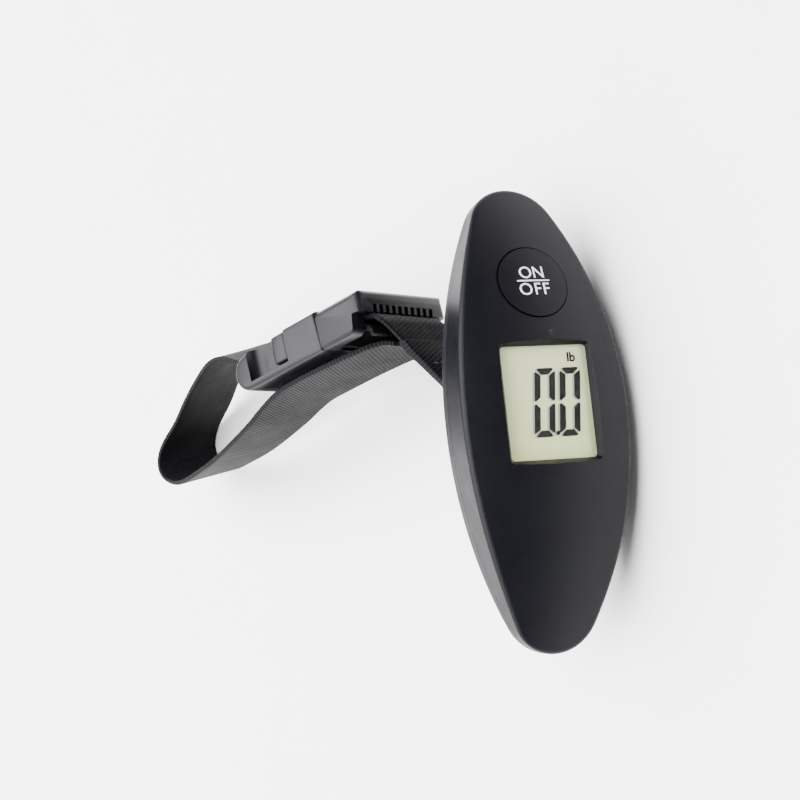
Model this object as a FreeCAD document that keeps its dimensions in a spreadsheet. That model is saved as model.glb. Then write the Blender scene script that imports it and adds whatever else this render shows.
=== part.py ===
import FreeCAD, Part
import math
import os

import Sketcher
from FreeCAD import Placement, Rotation, Vector

# Hand-held digital luggage scale: an oval two-shell case with a round power button and a flat display
# window, a load beam inside, and a webbing loop with a side-release buckle pinned to a round pull
# boss at its back.  It lies on its long side, leaning back on the boss, with the loop on its edge.
#
# Case pieces are drawn in the case's own frame: X along the case towards the button, Y from the front
# face to the back, Z across it.  One placement leans them back and lifts them onto the surface z = 0.
# Buckle pieces are drawn in the buckle's own frame: Y from its male end to its female end, X through
# its thickness, Z across its width.

SIZES = [
    # case outline
    ("case_length", 127.6), ("case_width", 48.2), ("back_width", 45.4), ("tip_radius", 12.4),
    ("wall", 1.8), ("lean_angle", 24.5), ("rest_height", 25.15),
    # places along the case's depth, measured from the middle of its thickness
    ("front_depth", 9.6), ("parting_depth", 8.0), ("back_depth", 18.0), ("face_edge_depth", 4.7),
    ("shell_gap", 0.15), ("face_long_fall", 15.9), ("face_cross_fall", 4.96),
    ("back_long_fall", 7.7), ("back_cross_fall", 7.0), ("edge_round", 1.6),
    # display window
    ("window_place", 2.3), ("bevel_wide", 29.2), ("bevel_long", 32.9), ("view_wide", 24.6),
    ("view_long", 30.0), ("window_depth", 6.0), ("lens_margin", 1.4), ("lens_thick", 1.0),
    ("window_corner", 1.0),
    # display stack
    ("display_wide", 28.0), ("display_long", 33.5), ("display_thick", 1.8), ("display_gap", 0.3),
    ("zebra_wide", 2.4), ("holder_wall", 1.2),
    # power button and its switch
    ("button_place", 34.6), ("button_radius", 9.7), ("button_gap", 0.38), ("button_proud", 0.35),
    ("button_flange", 1.0), ("button_flange_thick", 0.8),
    ("button_travel", 0.6), ("switch_side", 6.0), ("switch_tall", 3.2), ("plunger_radius", 1.75),
    ("plunger_tall", 0.7), ("switch_slack", 0.15),
    # circuit board
    ("board_front", 2.0), ("board_thick", 1.6), ("board_low_end", -23.0), ("board_high_end", 42.0),
    ("board_wide", 26.0),
    # load beam and pull boss
    ("beam_front", 9.2), ("beam_thick", 3.0), ("beam_wide", 10.0), ("beam_length", 53.0),
    ("beam_screw_place", 22.5), ("beam_slot", 1.2), ("boss_radius", 16.0), ("boss_gap", 0.4),
    ("boss_end", 29.0), ("boss_round", 4.5), ("boss_flange", 1.6), ("boss_flange_thick", 1.0), ("boss_start", 13.3),
    ("channel_wide", 26.8), ("channel_floor", 19.5), ("pin_radius", 2.0), ("pin_depth", 24.4),
    ("pin_length", 29.6), ("pin_fit", 0.03), ("pull_travel", 0.4),
    # battery and its door
    ("cell_radius", 10.0), ("cell_thick", 3.2), ("cell_place", -39.0), ("cell_front", 7.6),
    ("door_long", 25.0), ("door_wide", 20.0), ("door_gap", 0.25), ("door_thick", 1.6),
    # fasteners
    ("screw_radius", 1.1), ("screw_head_radius", 2.1), ("screw_head_tall", 1.3),
    ("case_screw_along", 27.0), ("case_screw_across", 16.2), ("post_radius", 2.9), ("post_end", 12.4),
    ("case_screw_length", 8.0), ("beam_screw_length", 4.6),
    # webbing
    ("webbing_wide", 25.0), ("webbing_thick", 1.4), ("layer_gap", 0.3),
    # buckle
    ("buckle_width", 35.4), ("buckle_length", 54.3), ("buckle_thick", 11.6), ("male_length", 17.4),
    ("buckle_fit", 0.3), ("buckle_turn", 10.1), ("buckle_x", 34.9), ("buckle_y", 36.8),
    ("buckle_z", 33.4), ("female_wall", 1.8), ("side_window_start", 31.0), ("side_window_end", 47.5),
    ("side_window_deep", 3.6), ("prong_wide", 3.4), ("prong_tall", 6.6), ("guide_wide", 5.0),
    ("guide_length", 17.0), ("comb_tall", 6.0), ("comb_deep", 3.0), ("tooth_pitch", 2.45),
    ("tooth_deep", 1.7), ("bar_round", 1.2),
]
SIZE = dict(SIZES)
TOOTH_COUNT = 10

doc = FreeCAD.newDocument("LuggageScale")
sheet = doc.addObject("Spreadsheet::Sheet", "Sizes")
for row, (alias, value) in enumerate(SIZES, start=1):
    sheet.set("A%d" % row, alias)
    sheet.set("B%d" % row, str(value))
    sheet.setAlias("B%d" % row, alias)
doc.recompute()

NODES = {}


def bind(text):
    """An expression in the sheet's names, as the document writes it."""
    words = text.replace("(", " ( ").replace(")", " ) ").split()
    return " ".join("Sizes." + word if word in SIZE else word for word in words)


def size_of(text):
    """The value of an expression in the sheet's names, read from the sheet."""
    words = text.replace("(", " ( ").replace(")", " ) ").split()
    total = "".join(repr(float(sheet.get(word))) if word in SIZE else word for word in words)
    return float(FreeCAD.Units.Quantity(total).Value)


# ---------------------------------------------------------------- placements of the two frames
def case_frame():
    """The case leans back about X and stands on its long side."""
    lean = Rotation(Vector(1, 0, 0), -sheet.lean_angle)
    return Placement(Vector(0, 0, sheet.rest_height), lean)


def buckle_frame():
    turn = Rotation(Vector(0, 0, 1), sheet.buckle_turn)
    return Placement(Vector(sheet.buckle_x, sheet.buckle_y, sheet.buckle_z), turn)


def keep(node, obj, frame=None):
    """Name a finished piece and set it in its place.  A piece placed by the sheet is held in a group."""
    if any("Placement" in path for path, text in obj.ExpressionEngine):
        obj = group("Held_" + node, [obj])
    obj.Label = node
    if frame:
        obj.Placement = frame.multiply(obj.Placement)
    NODES[node] = obj
    return obj


# ---------------------------------------------------------------- primitives bound to the sheet
def place(obj, x, y, z):
    for axis, text in zip("xyz", (x, y, z)):
        obj.setExpression("Placement.Base." + axis, bind(text))


def block(name, x, y, z, long, deep, tall):
    """A box by its centre in X and Z and its front in Y."""
    box = doc.addObject("Part::Box", name)
    box.setExpression("Length", bind(long))
    box.setExpression("Width", bind(deep))
    box.setExpression("Height", bind(tall))
    place(box, "( %s ) - ( %s ) / 2" % (x, long), y, "( %s ) - ( %s ) / 2" % (z, tall))
    return box


def rod_y(name, x, y, z, radius, length):
    """A cylinder along Y from its front end."""
    rod = doc.addObject("Part::Cylinder", name)
    rod.setExpression("Radius", bind(radius))
    rod.setExpression("Height", bind(length))
    rod.Placement = Placement(Vector(), Rotation(Vector(1, 0, 0), -90))
    place(rod, x, y, z)
    return rod


def rod_z(name, x, y, z, radius, length):
    """A cylinder along Z, centred on z."""
    rod = doc.addObject("Part::Cylinder", name)
    rod.setExpression("Radius", bind(radius))
    rod.setExpression("Height", bind(length))
    place(rod, x, y, "( %s ) - ( %s ) / 2" % (z, length))
    return rod


def fuse(name, pieces):
    joined = doc.addObject("Part::MultiFuse", name)
    joined.Shapes = pieces
    joined.Refine = True
    return joined


def cut(name, base, tools):
    for count, tool in enumerate(tools):
        result = doc.addObject("Part::Cut", "%s_%d" % (name, count))
        result.Base = base
        result.Tool = tool
        result.Refine = True
        base = result
    return base


def group(name, pieces):
    """Several like solids kept in one node."""
    gathered = doc.addObject("Part::Compound", name)
    gathered.Links = pieces
    return gathered


def solid(name, shape):
    feature = doc.addObject("Part::Feature", name)
    feature.Shape = shape
    return feature


# ---------------------------------------------------------------- sketched bodies
def origin_plane(body, role):
    return [item for item in body.Origin.OriginFeatures if item.Role == role][0]


def rect_sketch(body, name, role, wide, tall, x="0", y="0"):
    """A rectangle centred on (x, y), each side and its place bound to the sheet."""
    sketch = body.newObject("Sketcher::SketchObject", name)
    sketch.AttachmentSupport = [(origin_plane(body, role), "")]
    sketch.MapMode = "FlatFace"
    left = size_of("( %s ) - ( %s ) / 2" % (x, wide))
    low = size_of("( %s ) - ( %s ) / 2" % (y, tall))
    right = left + size_of(wide)
    high = low + size_of(tall)
    corners = [Vector(left, low, 0), Vector(right, low, 0), Vector(right, high, 0), Vector(left, high, 0)]
    for start, end in zip(corners, corners[1:] + corners[:1]):
        sketch.addGeometry(Part.LineSegment(start, end))
    for side in range(4):
        sketch.addConstraint(Sketcher.Constraint("Coincident", side, 2, (side + 1) % 4, 1))
    for side, direction in enumerate(("Horizontal", "Vertical", "Horizontal", "Vertical")):
        sketch.addConstraint(Sketcher.Constraint(direction, side))
    bound = [("DistanceX", 0, 1, 0, 2, wide, "wide"), ("DistanceY", 1, 1, 1, 2, tall, "tall")]
    for kind, first, point, second, other, text, word in bound:
        row = sketch.addConstraint(Sketcher.Constraint(kind, first, point, second, other, size_of(text)))
        sketch.renameConstraint(row, word)
        sketch.setExpression("Constraints." + word, bind(text))
    places = [("DistanceX", left, "( %s ) - ( %s ) / 2" % (x, wide), "left"),
              ("DistanceY", low, "( %s ) - ( %s ) / 2" % (y, tall), "low")]
    for kind, value, text, word in places:
        row = sketch.addConstraint(Sketcher.Constraint(kind, -1, 1, 0, 1, value))
        sketch.renameConstraint(row, word)
        sketch.setExpression("Constraints." + word, bind(text))
    return sketch


def plate(name, wide, tall, thick, x, front, y="0", rounds=None):
    """A flat plate square to the case's depth: sketched on XZ, padded, and set at its depth."""
    body = doc.addObject("PartDesign::Body", name)
    sketch = rect_sketch(body, name + "_outline", "XZ_Plane", wide, tall, x, y)
    pad = body.newObject("PartDesign::Pad", name + "_pad")
    pad.Profile = sketch
    pad.Reversed = True
    pad.setExpression("Length", bind(thick))
    doc.recompute()
    if rounds:
        upright = [n + 1 for n, edge in enumerate(pad.Shape.Edges)
                   if abs(edge.Vertexes[0].Y - edge.Vertexes[-1].Y) > size_of(thick) / 2]
        fillet = body.newObject("PartDesign::Fillet", name + "_corners")
        fillet.Base = (pad, ["Edge%d" % n for n in upright])
        fillet.setExpression("Radius", bind(rounds))
    body.setExpression("Placement.Base.y", bind(front))
    return body


# ---------------------------------------------------------------- the case's own surfaces
def oval_wire(length, width, tip, depth):
    """A four-arc oval in X and Z at one depth: two long side arcs and two tip arcs, all tangent."""
    half, side = length / 2, width / 2
    big = ((half - tip) ** 2 + side ** 2 - tip ** 2) / (2 * (side - tip))
    centre = big - side
    turn = math.atan2(centre, half - tip)

    def side_point(angle):
        return Vector(big * math.cos(angle), depth, -centre + big * math.sin(angle))

    low, high = side_point(turn), side_point(math.pi - turn)
    top = Part.Arc(low, Vector(0, depth, side), high).toShape()
    under = Part.Arc(Vector(high.x, depth, -high.z), Vector(0, depth, -side),
                     Vector(low.x, depth, -low.z)).toShape()
    left = Part.Arc(high, Vector(-half, depth, 0), Vector(high.x, depth, -high.z)).toShape()
    right = Part.Arc(Vector(low.x, depth, -low.z), Vector(half, depth, 0), low).toShape()
    return Part.Wire([top, left, under, right])


def tapered_oval(inset, start, end):
    """The case's side wall as a closed solid: wide at the face's edge, drawn in towards the back."""
    slope = (sheet.back_width - sheet.case_width) / (sheet.parting_depth + sheet.face_edge_depth)

    def ring(depth):
        change = slope * (depth + sheet.face_edge_depth)
        return oval_wire(sheet.case_length + change - 2 * inset, sheet.case_width + change - 2 * inset,
                         sheet.tip_radius - inset, depth)

    return Part.makeLoft([ring(start), ring(end)], True, True)


def crown(apex, long_radius, cross_radius, side):
    """A ring solid whose outside is the crowned face: one radius along the case, one across it."""
    ring = long_radius - cross_radius
    shape = Part.makeTorus(ring, cross_radius, Vector(0, 0, 0), Vector(0, 0, 1), -120, 120, 360)
    shape.translate(Vector(0, apex + side * long_radius, 0))
    return shape


def arc_radius(span, fall):
    """Radius of the arc over a span that falls this far at its ends."""
    return (span * span / 4 + fall * fall) / (2 * fall)


def front_solid(inset, end):
    """The front half of the case as a full solid, moved in by the inset."""
    face = crown(-sheet.front_depth + inset,
                 arc_radius(sheet.case_length, sheet.face_long_fall) - inset,
                 arc_radius(sheet.case_width, sheet.face_cross_fall) - inset, 1)
    return tapered_oval(inset, -sheet.front_depth - 4, end).common(face)


def back_solid(inset, start):
    face = crown(sheet.back_depth - inset,
                 arc_radius(sheet.case_length, sheet.back_long_fall) - inset,
                 arc_radius(sheet.case_width, sheet.back_cross_fall) - inset, -1)
    return tapered_oval(inset, start, sheet.back_depth + 4).common(face)


def softened(shape):
    """Round the edge where the crowned face meets the side wall."""
    crowned = [face for face in shape.Faces if face.Surface.TypeId == "Part::GeomToroid"]
    return shape.makeFillet(sheet.edge_round, crowned[0].Edges)


def rounded_rect(long, wide, corner, depth):
    """A rectangle with round corners in X and Z about the window's middle."""
    x = sheet.window_place
    edges = []
    for turn in range(4):
        start = math.radians(90 * turn)
        sign_x = 1 if turn in (0, 3) else -1
        sign_z = 1 if turn in (0, 1) else -1
        middle = Vector(x + sign_x * (long / 2 - corner), depth, sign_z * (wide / 2 - corner))
        points = [middle + Vector(corner * math.cos(start + step), 0, corner * math.sin(start + step))
                  for step in (0, math.pi / 4, math.pi / 2)]
        edges.append(Part.Arc(*points).toShape())
    joined = []
    for edge, following in zip(edges, edges[1:] + edges[:1]):
        joined.append(edge)
        joined.append(Part.makeLine(edge.valueAt(edge.LastParameter),
                                    following.valueAt(following.FirstParameter)))
    return Part.Wire(joined)


def window_cutter():
    """The bevelled surround: wide at the face, drawn in to the view at the lens."""
    corner = sheet.window_corner
    spread = sheet.bevel_wide - sheet.view_wide
    bevel = Part.makeLoft([
        rounded_rect(sheet.bevel_long + spread, sheet.bevel_wide + spread, corner + 1,
                     -sheet.front_depth - (sheet.front_depth - sheet.window_depth)),
        rounded_rect(sheet.view_long, sheet.view_wide, corner, -sheet.window_depth)], True, True)
    sight = Part.Face(rounded_rect(sheet.view_long, sheet.view_wide, corner, -sheet.window_depth - 0.05))
    return bevel.fuse(sight.extrude(Vector(0, 4, 0)))


# ---------------------------------------------------------------- front shell
def front_shell():
    """Moulded front half: crowned face, window surround, button hole, lens seat and screw posts."""
    end = sheet.parting_depth - sheet.shell_gap / 2
    outer = softened(front_solid(0, end))
    inner = front_solid(sheet.wall, end + 1)
    pad = Part.makeBox(sheet.bevel_long + 5, sheet.window_depth, sheet.bevel_wide + 5,
                       Vector(sheet.window_place - sheet.bevel_long / 2 - 2.5,
                              -sheet.window_depth - sheet.front_depth / 2,
                              -sheet.bevel_wide / 2 - 2.5)).common(outer)
    shape = outer.cut(inner).fuse(pad)
    lens_long = sheet.view_long + 2 * sheet.lens_margin + 2 * sheet.display_gap
    lens_wide = sheet.view_wide + 2 * sheet.lens_margin + 2 * sheet.display_gap
    seat = Part.makeBox(lens_long, 12, lens_wide, Vector(sheet.window_place - lens_long / 2,
                        -sheet.window_depth, -lens_wide / 2))
    room_long = sheet.display_long + 2 * sheet.holder_wall + 2 * sheet.display_gap
    room_wide = sheet.display_wide + 2 * sheet.holder_wall + 2 * sheet.display_gap
    room = Part.makeBox(room_long, 12, room_wide, Vector(sheet.window_place - room_long / 2,
                        -sheet.window_depth + sheet.lens_thick, -room_wide / 2))
    hole = Part.makeCylinder(sheet.button_radius + sheet.button_gap, 30,
                             Vector(sheet.button_place, -20, 0), Vector(0, 1, 0))
    shape = shape.cut(window_cutter()).cut(seat).cut(room).cut(hole)
    posts = []
    for sx in (-1, 1):
        for sz in (-1, 1):
            foot = Vector(sx * sheet.case_screw_along, -12, sz * sheet.case_screw_across)
            post = Part.makeCylinder(sheet.post_radius, 12 + end, foot, Vector(0, 1, 0))
            bore = Part.makeCylinder(sheet.screw_radius, 12 + end, foot + Vector(0, 12, 0),
                                     Vector(0, 1, 0))
            posts.append(post.common(outer).cut(bore))
            shape = shape.cut(bore)
    for post in posts:
        shape = shape.fuse(post)
    return keep("front_shell", solid("FrontShell", shape.removeSplitter()), case_frame())


# ---------------------------------------------------------------- display window and display
def window_lens():
    wide = "view_wide + 2 * lens_margin"
    long = "view_long + 2 * lens_margin"
    lens = plate("WindowLens", long, wide, "lens_thick", "window_place", "0 - window_depth")
    return keep("window_lens", lens, case_frame())


def display():
    front = "0 - window_depth + lens_thick + display_gap / 2"
    glass = plate("DisplayGlass", "display_long", "display_wide", "display_thick", "window_place", front)
    keep("display_glass", glass, case_frame())
    tall = "window_depth - lens_thick + board_front - display_gap"
    frame = block("HolderOut", "window_place", front, "0", "display_long + 2 * holder_wall",
                  tall, "display_wide + 2 * holder_wall")
    hollow = block("HolderIn", "window_place", front + " - 1", "0", "display_long + display_gap",
                   "window_depth + 8", "display_wide + display_gap")
    keep("display_holder", cut("Holder", frame, [hollow]), case_frame())
    strips = []
    for side, sign in (("Low", "-"), ("High", "+")):
        x = "window_place %s ( display_long / 2 - zebra_wide )" % sign
        strips.append(block("Zebra" + side, x, front + " + display_thick", "0", "zebra_wide",
                            tall + " - display_thick", "display_wide - 2"))
    keep("zebra_strips", group("ZebraStrips", strips), case_frame())


# ---------------------------------------------------------------- power button and its switch
def power_button():
    """Round cap that follows the crown, with a flange under the shell and a stem over the switch."""
    low = sheet.wall + sheet.button_gap
    bottom = low + sheet.button_flange_thick
    skin = front_solid(-sheet.button_proud, sheet.parting_depth).cut(
        front_solid(bottom, sheet.parting_depth + 1))
    ledge = front_solid(low, sheet.parting_depth).cut(front_solid(bottom, sheet.parting_depth + 1))
    foot = Vector(sheet.button_place, -20, 0)
    along = Vector(0, 1, 0)
    cap = skin.common(Part.makeCylinder(sheet.button_radius, 40, foot, along))
    rim = ledge.common(Part.makeCylinder(sheet.button_radius + sheet.button_flange, 40, foot, along))
    stem_end = sheet.board_front - sheet.switch_tall - sheet.plunger_tall - sheet.switch_slack
    stem = Part.makeCylinder(sheet.plunger_radius + 0.6, stem_end + 20, foot, along)
    stem = stem.cut(Part.makeCylinder(sheet.plunger_radius + 1, 20 - sheet.front_depth / 2, foot, along))
    room = sheet.switch_side + 2 * sheet.button_travel
    switch_room = Part.makeBox(room, 10, room, Vector(sheet.button_place - room / 2, stem_end, -room / 2))
    cap = cap.fuse(rim).fuse(stem).cut(switch_room).removeSplitter()
    return keep("power_button", solid("PowerButton", cap), case_frame())


def tact_switch():
    body = block("SwitchBody", "button_place", "board_front - switch_tall", "0", "switch_side",
                 "switch_tall", "switch_side")
    bore = rod_y("SwitchBore", "button_place", "board_front - switch_tall - 1", "0",
                 "plunger_radius + pin_fit", "button_travel + switch_slack + 2")
    keep("tact_switch", cut("Switch", body, [bore]), case_frame())
    plunger = rod_y("Plunger", "button_place", "board_front - switch_tall - plunger_tall", "0",
                    "plunger_radius", "plunger_tall + 0.8")
    keep("switch_plunger", plunger, case_frame())


# ---------------------------------------------------------------- circuit board and what is on it
def circuit_board():
    middle = "( board_low_end + board_high_end ) / 2"
    board = plate("CircuitBoard", "board_high_end - board_low_end", "board_wide", "board_thick",
                  middle, "board_front")
    keep("circuit_board", board, case_frame())
    back = "board_front + board_thick"
    dome = rod_y("ChipBlob", "0", back, "7", "4.5", "1.4")
    keep("chip_blob", dome, case_frame())
    parts = []
    for count in range(6):
        parts.append(block("Chip%d" % count, "%d" % (-16 + 5 * count), back, "-8", "2", "0.9", "1.2"))
    keep("board_components", group("BoardComponents", parts), case_frame())


# ---------------------------------------------------------------- load beam, gauges and pull boss
def load_beam():
    bar = block("BeamBar", "0", "beam_front", "0", "beam_length", "beam_thick", "beam_wide")
    tools = []
    for sign in ("-", "+"):
        word = "Low" if sign == "-" else "High"
        tools.append(rod_y("BeamBore" + word, "%s beam_screw_place" % ("0 " + sign), "beam_front - 1",
                           "0", "screw_radius + pin_fit", "beam_thick + 2"))
        for across in ("-", "+"):
            tools.append(block("BeamSlot" + word + ("A" if across == "-" else "B"),
                               "0 %s beam_length / 4" % sign, "beam_front - 1",
                               "0 %s beam_wide / 4" % across, "9", "beam_thick + 2", "beam_slot"))
    tools.append(rod_y("BeamMiddleBore", "0", "beam_front - 1", "0", "1.6", "beam_thick + 2"))
    keep("load_beam", cut("LoadBeam", bar, tools), case_frame())
    gauges = [block("Gauge%d" % n, "%d" % x, "beam_front - 0.25", "0", "5", "0.25", "2")
              for n, x in enumerate((-10, 10))]
    keep("strain_gauges", group("StrainGauges", gauges), case_frame())
    leads = []
    for n, x in enumerate((-9, -11, 9, 11)):
        leads.append(rod_y("Lead%d" % n, "%d" % x, "board_front + board_thick", "0", "0.35",
                           "beam_front - 0.25 - board_front - board_thick"))
    keep("gauge_leads", group("GaugeLeads", leads), case_frame())


def screw(name, x, head_front, z, length, head_radius="screw_head_radius"):
    """A pan-head screw along Y whose head is towards the front."""
    head = rod_y(name + "Head", x, head_front, z, head_radius, "screw_head_tall")
    shank = rod_y(name + "Shank", x, head_front, z, "screw_radius - pin_fit",
                  "screw_head_tall + ( %s )" % length)
    return fuse(name, [head, shank])


def beam_screws():
    front = "beam_front - screw_head_tall"
    ends = [screw("BeamScrew%d" % n, x, front, "0", "beam_screw_length")
            for n, x in enumerate(("0 - beam_screw_place", "beam_screw_place"))]
    keep("beam_screws", group("BeamScrews", ends), case_frame())
    middle = screw("PullScrew", "0", front + " - pull_travel - 0.1", "0", "beam_thick + 3.5")
    keep("pull_screw", middle, case_frame())


def pull_boss():
    """Round boss that the webbing is pinned to.  Its flange stops it against the back shell."""
    flange = block("BossFlange", "0", "boss_start", "0", "2 * boss_radius + 2 * boss_flange",
                   "boss_flange_thick", "boss_radius")
    neck = rod_y("BossNeck", "0", "beam_front + beam_thick + 0.05", "0", "4",
                 "boss_start - beam_front - beam_thick")
    drum = rod_y("BossDrum", "0", "boss_start", "0", "boss_radius", "boss_end - boss_start")
    doc.recompute()
    rounded = doc.addObject("Part::Fillet", "BossRounded")
    rounded.Base = drum
    rim = [n + 1 for n, edge in enumerate(drum.Shape.Edges)
           if edge.BoundBox.ZLength > 1 and edge.BoundBox.YMin > sheet.boss_end - 1]
    rounded.Edges = [(n, sheet.boss_round, sheet.boss_round) for n in rim]
    whole = fuse("BossWhole", [flange, neck, rounded])
    channel = block("BossChannel", "0", "channel_floor", "0", "3 * boss_radius", "20", "channel_wide")
    pin_bore = rod_z("BossPinBore", "0", "pin_depth", "0", "pin_radius + pin_fit", "pin_length + 0.2")
    tap = rod_y("BossTap", "0", "boss_start - 2", "0", "screw_radius", "6")
    keep("pull_boss", cut("PullBoss", whole, [channel, pin_bore, tap]), case_frame())
    pin = rod_z("StrapPin", "0", "pin_depth", "0", "pin_radius", "pin_length")
    keep("strap_pin", pin, case_frame())


# ---------------------------------------------------------------- battery
def battery():
    cell = rod_y("CoinCell", "cell_place", "cell_front", "0", "cell_radius", "cell_thick")
    keep("coin_cell", cell, case_frame())
    flat = block("ContactFlat", "cell_place", "cell_front - 0.3 - 0.05", "0", "12", "0.3", "4")
    tongue = block("ContactTongue", "cell_place + 9", "cell_front - 0.35", "0", "8", "0.3", "4")
    keep("negative_contact", fuse("NegativeContact", [flat, tongue]), case_frame())
    side = block("SideContact", "cell_place + cell_radius + 0.35", "cell_front + 0.4", "0", "0.3",
                 "cell_thick - 0.8", "4")
    keep("positive_contact", side, case_frame())


def door_solid(gap):
    """The battery door's own block before it takes the back's crown."""
    long = sheet.door_long + 2 * gap
    wide = sheet.door_wide + 2 * gap
    return Part.makeBox(long, 12, wide, Vector(sheet.cell_place - long / 2, sheet.parting_depth + 3,
                                               -wide / 2))


def battery_door():
    outside = back_solid(0, sheet.parting_depth)
    inside = back_solid(sheet.door_thick, sheet.parting_depth - 1)
    shape = door_solid(0).common(outside).cut(inside)
    return keep("battery_door", solid("BatteryDoor", shape.removeSplitter()), case_frame())


# ---------------------------------------------------------------- rear shell
def rear_shell():
    """Moulded back half: crowned back, round hole for the boss, door opening and screw posts."""
    start = sheet.parting_depth + sheet.shell_gap / 2
    outer = softened(back_solid(0, start))
    inner = back_solid(sheet.wall, start - 1)
    shape = outer.cut(inner)
    for x in (-sheet.beam_screw_place, sheet.beam_screw_place):
        foot = Vector(x, sheet.beam_front + sheet.beam_thick, 0)
        post = Part.makeCylinder(sheet.post_radius, 12, foot, Vector(0, 1, 0)).common(outer)
        bore = Part.makeCylinder(sheet.screw_radius, sheet.beam_screw_length - sheet.beam_thick + 0.5,
                                 foot, Vector(0, 1, 0))
        shape = shape.fuse(post.cut(bore))
    head_seat = start + sheet.case_screw_length / 2
    corners = [(-sheet.case_screw_along, sheet.case_screw_across),
               (sheet.case_screw_along, sheet.case_screw_across)]
    along = Vector(0, 1, 0)
    for x, z in corners:
        post = Part.makeCylinder(sheet.post_radius, sheet.post_end - start, Vector(x, start, z), along)
        shape = shape.fuse(post)
    screw_cutters = []
    for x, z in corners:
        bore = Part.makeCylinder(sheet.screw_radius + 0.15, 20, Vector(x, start - 1, z), along)
        sink = Part.makeCylinder(sheet.screw_head_radius + 0.2, 20, Vector(x, head_seat, z), along)
        screw_cutters += [bore, sink]
    boss_hole = Part.makeCylinder(sheet.boss_radius + sheet.boss_gap, 30, Vector(0, start + 2, 0),
                                  Vector(0, 1, 0))
    shape = shape.cut(boss_hole).cut(door_solid(sheet.door_gap))
    cup = Part.makeCylinder(sheet.cell_radius + 1.6, 3.0,
                            Vector(sheet.cell_place, start + 0.2, 0), Vector(0, 1, 0))
    cup = cup.cut(Part.makeCylinder(sheet.cell_radius + 0.8, 6,
                                    Vector(sheet.cell_place, start - 0.5, 0), Vector(0, 1, 0)))
    shape = shape.fuse(cup.common(outer))
    for cutter in screw_cutters:
        shape = shape.cut(cutter)
    reach = sheet.case_length
    upper = shape.common(Part.makeBox(2 * reach, reach, reach, Vector(-reach, 0, 0)))
    lower = upper.mirror(Vector(0, 0, 0), Vector(0, 0, 1))
    shape = upper.fuse(lower).removeSplitter()
    return keep("rear_shell", solid("RearShell", shape), case_frame())


def case_screws():
    head = sheet.parting_depth + sheet.shell_gap / 2 + sheet.case_screw_length / 2
    pieces = []
    for n, (sx, sz) in enumerate(((-1, -1), (-1, 1), (1, -1), (1, 1))):
        foot = Vector(sx * sheet.case_screw_along, head - sheet.case_screw_length,
                      sz * sheet.case_screw_across)
        shank = Part.makeCylinder(sheet.screw_radius - sheet.pin_fit, sheet.case_screw_length, foot,
                                  Vector(0, 1, 0))
        cap = Part.makeCylinder(sheet.screw_head_radius, sheet.screw_head_tall,
                                foot + Vector(0, sheet.case_screw_length, 0), Vector(0, 1, 0))
        cross = Part.makeBox(2.4, 0.7, 0.6, foot + Vector(-1.2, sheet.case_screw_length
                                                           + sheet.screw_head_tall - 0.6, -0.3))
        other = Part.makeBox(0.6, 0.7, 2.4, foot + Vector(-0.3, sheet.case_screw_length
                                                           + sheet.screw_head_tall - 0.6, -1.2))
        pieces.append(shank.fuse(cap).cut(cross).cut(other))
    return keep("case_screws", solid("CaseScrews", Part.makeCompound(pieces)), case_frame())


# ---------------------------------------------------------------- buckle
def male_half():
    """Ladder-lock half: a frame with a toothed end bar and a middle bar, two prongs and a guide."""
    thick, wide = sheet.buckle_thick, sheet.buckle_width
    body = Part.makeBox(thick, sheet.male_length, wide, Vector(-thick / 2, 0, -wide / 2))
    long_edges = [edge for edge in body.Edges if edge.BoundBox.YLength < 1 and edge.BoundBox.XLength < 1]
    body = body.makeFillet(sheet.bar_round * 2, long_edges)
    inner_wide = sheet.webbing_wide + 2 * sheet.layer_gap
    mouth = Part.makeBox(thick - sheet.comb_tall, sheet.comb_deep + 2, inner_wide,
                         Vector(-thick / 2, -2, -inner_wide / 2))
    room = Part.makeBox(thick + 2, 10, inner_wide, Vector(-thick / 2 - 1, sheet.comb_deep,
                                                          -inner_wide / 2))
    body = body.cut(mouth).cut(room)
    bar = Part.makeBox(2.4, 3.0, inner_wide + 1, Vector(0.5, 7.6, -inner_wide / 2 - 0.5))
    body = body.fuse(bar)
    for n in range(TOOTH_COUNT):
        z = (n - (TOOTH_COUNT - 1) / 2) * sheet.tooth_pitch
        notch = Part.makeBox(sheet.tooth_deep, 1.4, sheet.tooth_pitch / 2,
                             Vector(thick / 2 - sheet.comb_tall - 0.01, -0.01, z - sheet.tooth_pitch / 4))
        body = body.cut(notch)
    guide = Part.makeBox(2.2, sheet.guide_length, sheet.guide_wide,
                         Vector(-1.1, sheet.male_length - 0.5, -sheet.guide_wide / 2))
    return keep("buckle_male", solid("BuckleMale", body.fuse(guide).removeSplitter()), buckle_frame())


def prong_outline(sign):
    """One prong in plan: a springy arm that ends in a thumb pad and a hooked shoulder."""
    outer = sheet.buckle_width / 2
    wall = outer - sheet.side_window_deep
    root, hook, tip = sheet.male_length + 0.45, sheet.side_window_start, sheet.side_window_end
    arm = sheet.prong_wide
    points = [(root, wall - 0.6), (hook + 0.3, wall - 0.6), (hook + 0.3, outer - 0.3),
              (hook + 5.5, outer - 0.3), (tip - 1.5, wall + 1.2), (tip - 3.5, wall - arm + 0.6),
              (root, wall - 0.6 - arm)]
    return [Vector(0, y, sign * z) for y, z in points]


def prongs():
    for word, sign in (("upper", 1), ("lower", -1)):
        points = prong_outline(sign)
        face = Part.Face(Part.makePolygon(points + points[:1]))
        face.translate(Vector(-sheet.prong_tall / 2, 0, 0))
        shape = face.extrude(Vector(sheet.prong_tall, 0, 0))
        keep("buckle_prong_" + word, solid("Prong" + word.title(), shape), buckle_frame())


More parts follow.
